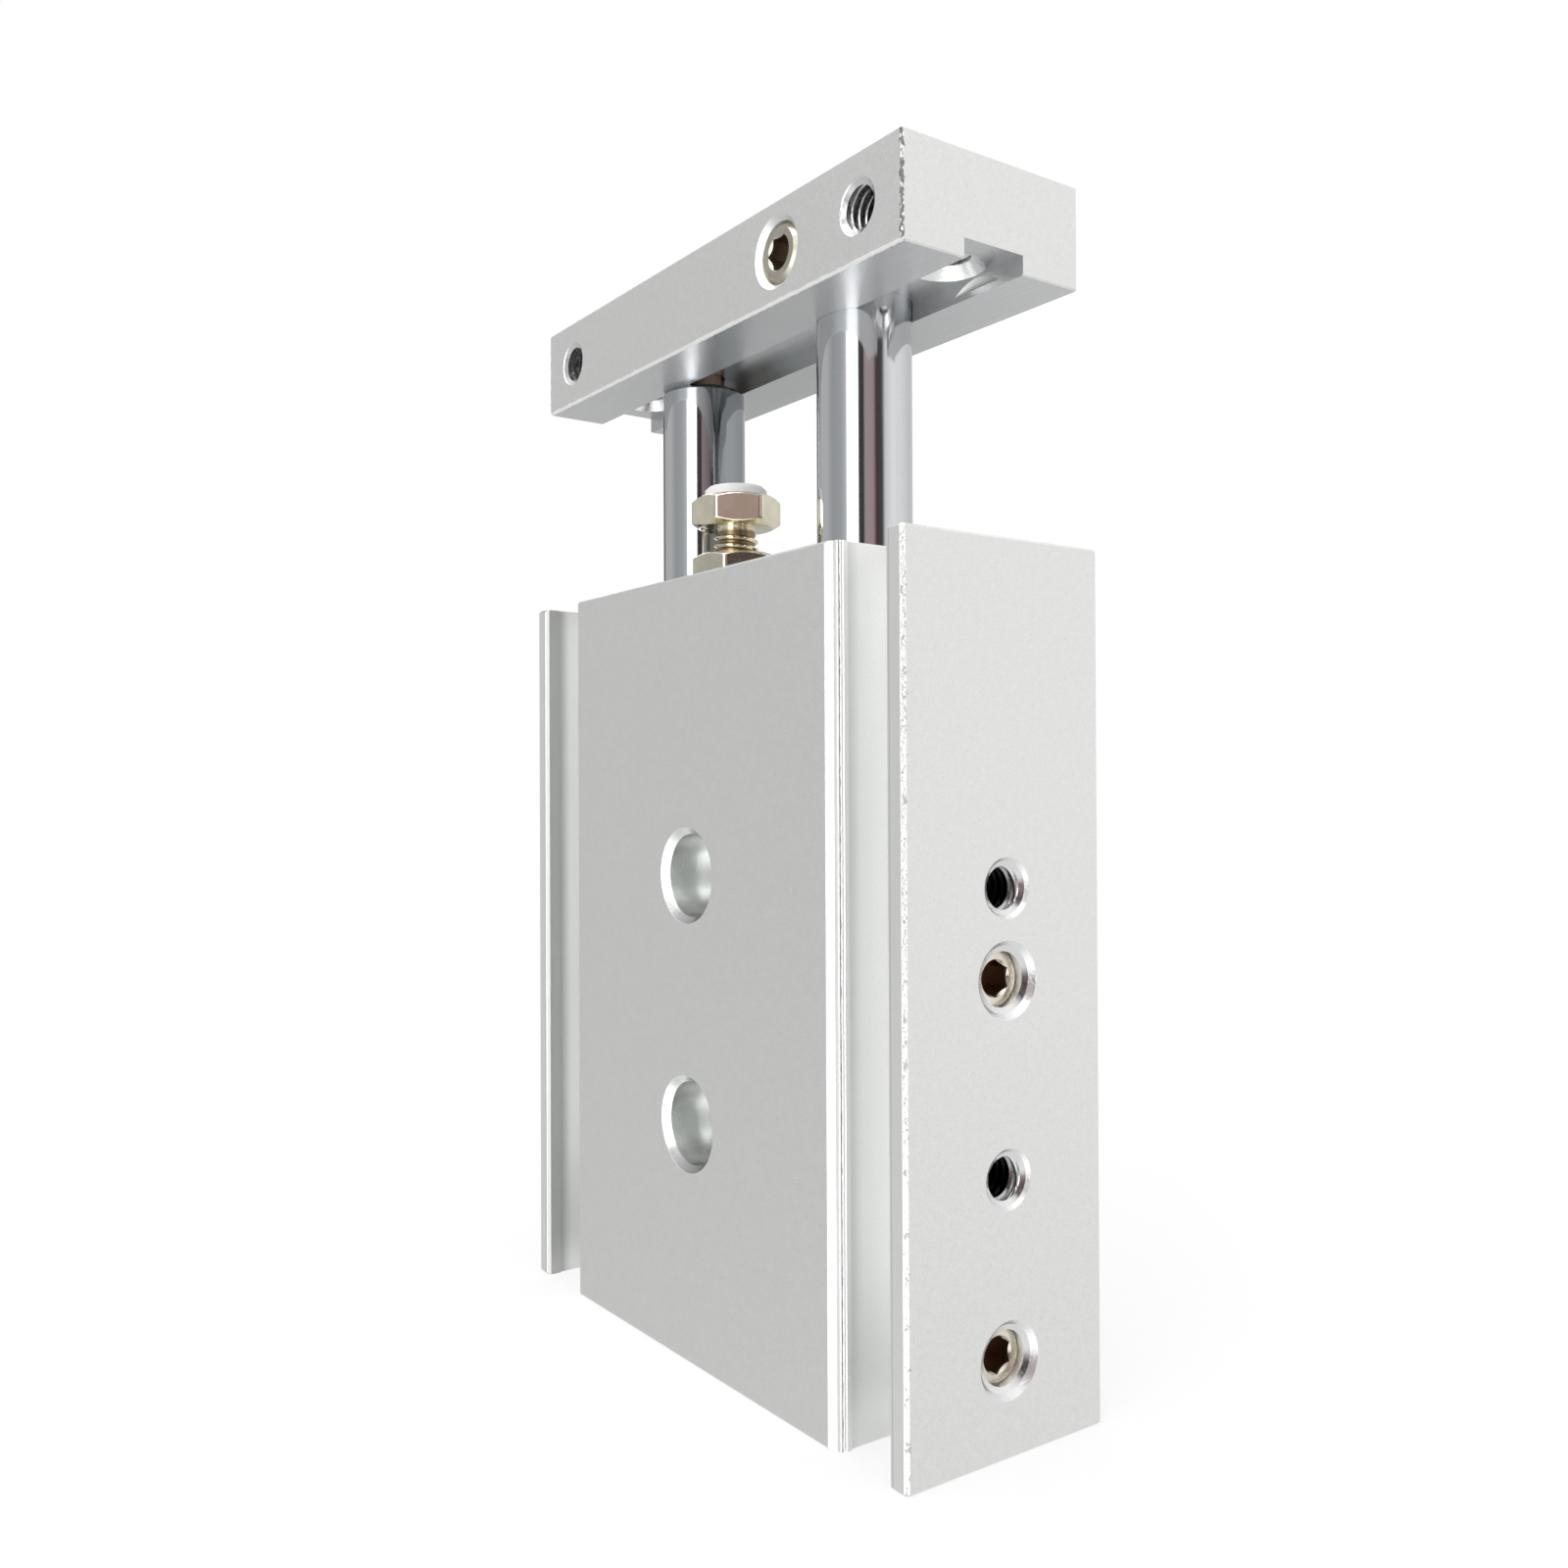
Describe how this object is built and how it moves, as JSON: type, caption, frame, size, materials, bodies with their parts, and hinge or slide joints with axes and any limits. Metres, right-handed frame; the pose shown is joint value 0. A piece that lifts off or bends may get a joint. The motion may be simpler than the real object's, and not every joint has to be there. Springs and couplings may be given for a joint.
{
  "type": "guided pneumatic cylinder",
  "caption": "Flat guided air cylinder with parallel rods joined by an end plate, switch grooves, tapped air ports and a screw stroke stop.",
  "frame": {"origin": "centre of the housing's lower end face, the end away from the plate", "axes": "+Z along the rods towards the end plate, +X across the two bores towards the plugged ports, front with the switch grooves at -Y"},
  "size_m": [0.058, 0.02, 0.0965],
  "materials": {
    "anodised_aluminium": "satin clear anodised",
    "bare_aluminium": "turned",
    "hard_chrome": "ground and hard chromed",
    "nickel_steel": "nickel plated, slightly warm",
    "spring_steel": "phosphated spring steel",
    "bronze": "sintered bronze",
    "black_rubber": "moulded nitrile rubber",
    "white_urethane": "moulded polyurethane",
    "bonded_magnet": "plastic-bonded magnet"
  },
  "bodies": {
    "housing": {"housing": "anodised_aluminium", "port_plugs": "nickel_steel", "retaining_rings_head": "spring_steel", "retaining_rings_rod": "spring_steel", "head_cover_left": "bare_aluminium", "head_cover_seal_left": "black_rubber", "rod_cover_left": "bare_aluminium", "rod_bush_left": "bronze", "rod_cover_seal_left": "black_rubber", "rod_seal_left": "black_rubber", "seal_retainer_left": "spring_steel", "head_cover_right": "bare_aluminium", "head_cover_seal_right": "black_rubber", "rod_cover_right": "bare_aluminium", "rod_bush_right": "bronze", "rod_cover_seal_right": "black_rubber", "rod_seal_right": "black_rubber", "seal_retainer_right": "spring_steel"},
    "slide": {"end_plate": "anodised_aluminium", "rod_left": "hard_chrome", "rod_right": "hard_chrome", "set_screw": "nickel_steel", "cap_screw": "nickel_steel", "piston_left": "bare_aluminium", "piston_seal_left": "black_rubber", "magnet_ring_left": "bonded_magnet", "piston_cushion_left": "white_urethane", "piston_right": "bare_aluminium", "piston_seal_right": "black_rubber", "magnet_ring_right": "bonded_magnet", "piston_cushion_right": "white_urethane"},
    "bumper": {"bumper": "white_urethane"},
    "bumper_bolt": {"bumper_bolt": "nickel_steel"},
    "lock_nut": {"lock_nut": "nickel_steel"}
  },
  "joints": [
    {"name": "rod_slide", "type": "slide", "parent": "housing", "child": "slide", "axis": [0, 0, 1], "range_m": [-0.0114, 0.0036]},
    {"name": "adjuster_advance", "type": "slide", "parent": "housing", "child": "bumper", "axis": [0, 0, 1], "range_m": [-0.0014, 0]},
    {"name": "adjuster_turn", "type": "hinge", "parent": "bumper", "child": "bumper_bolt", "pos_m": [0, -0.0046, 0.0725], "axis": [0, 0, 1], "range_deg": [-721, 1]},
    {"name": "lock_nut_turn", "type": "hinge", "parent": "housing", "child": "lock_nut", "pos_m": [0, -0.0046, 0.068], "axis": [0, 0, 1], "range_deg": [0, 60]}
  ],
  "couplings": [
    {"joint": "adjuster_turn", "follows": "adjuster_advance", "rad_per_m": 8976}
  ]
}
